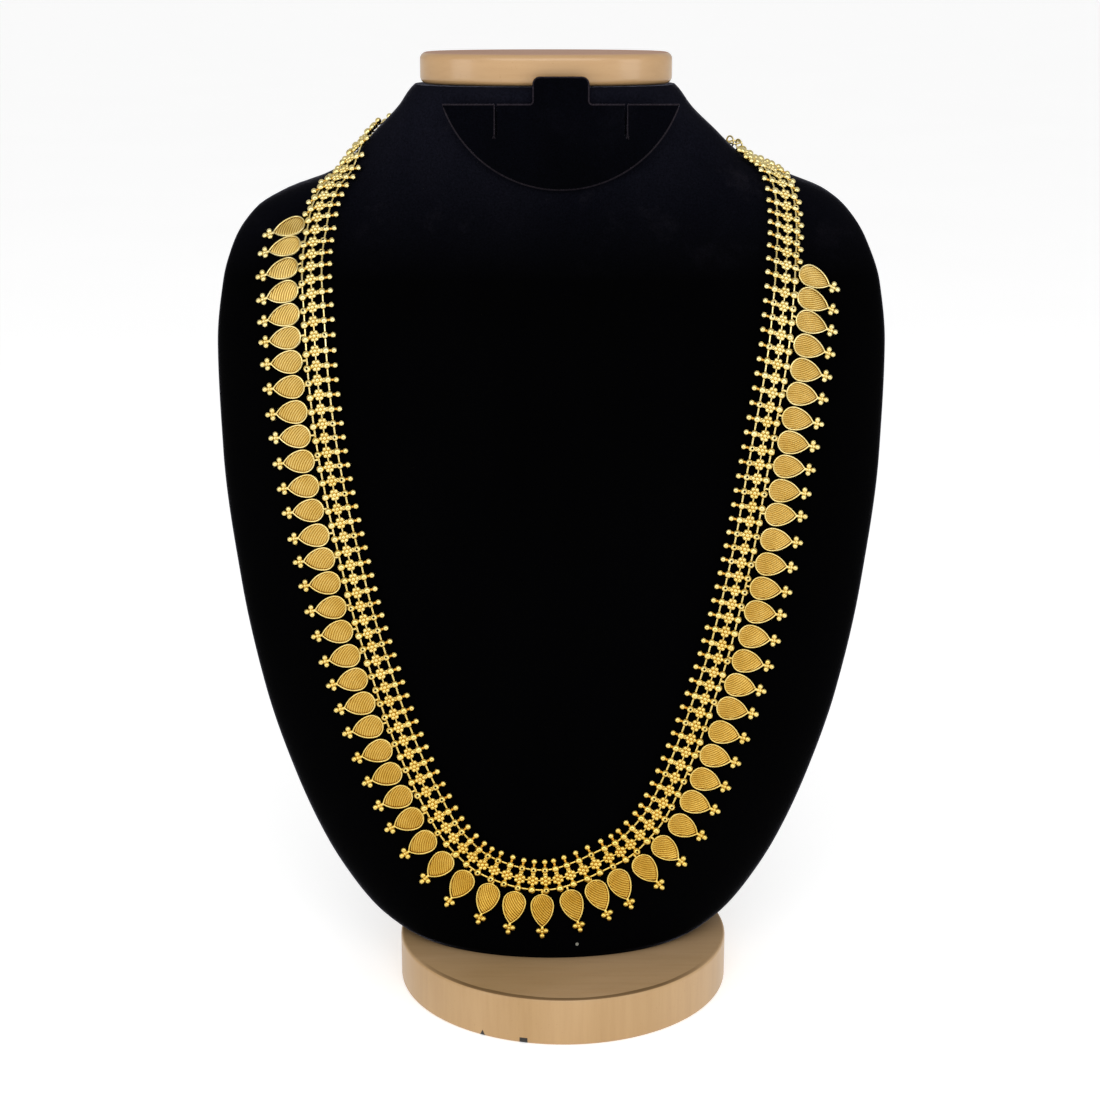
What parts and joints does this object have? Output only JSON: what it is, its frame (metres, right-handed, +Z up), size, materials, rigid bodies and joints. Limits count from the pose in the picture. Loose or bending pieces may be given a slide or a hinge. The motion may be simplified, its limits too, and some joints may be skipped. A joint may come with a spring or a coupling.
{
  "type": "long necklace on a neck bust",
  "caption": "Long gold bead-and-flower band necklace with leaf drops, closed by a plain chain and barrel clasp, on a black velvet neck bust with round wooden base.",
  "frame": {"origin": "centre of the underside of the round base", "axes": "+Z up through the neck, -Y towards the front of the bust, +X to the right in the picture"},
  "size_m": [0.2516, 0.1577, 0.3456],
  "materials": {
    "base_wood": "varnished, satin",
    "post_wood": "raw",
    "bust_velvet": "short-pile black velvet",
    "cap_wood": "varnished, glossy",
    "card_velvet": "black velvet over card",
    "bead_gold": "polished yellow gold",
    "leaf_gold": "matte ribbed face, polished rim",
    "chain_gold": "polished yellow gold"
  },
  "bodies": {
    "root": {"base_disc": "base_wood", "base_post": "post_wood", "bust_body": "bust_velvet", "neck_cap": "cap_wood", "earring_card": "card_velvet", "band_left": "bead_gold", "band_right": "bead_gold", "leaves_left": "leaf_gold", "leaves_right": "leaf_gold", "back_chain": "chain_gold", "clasp": "chain_gold"}
  },
  "joints": []
}
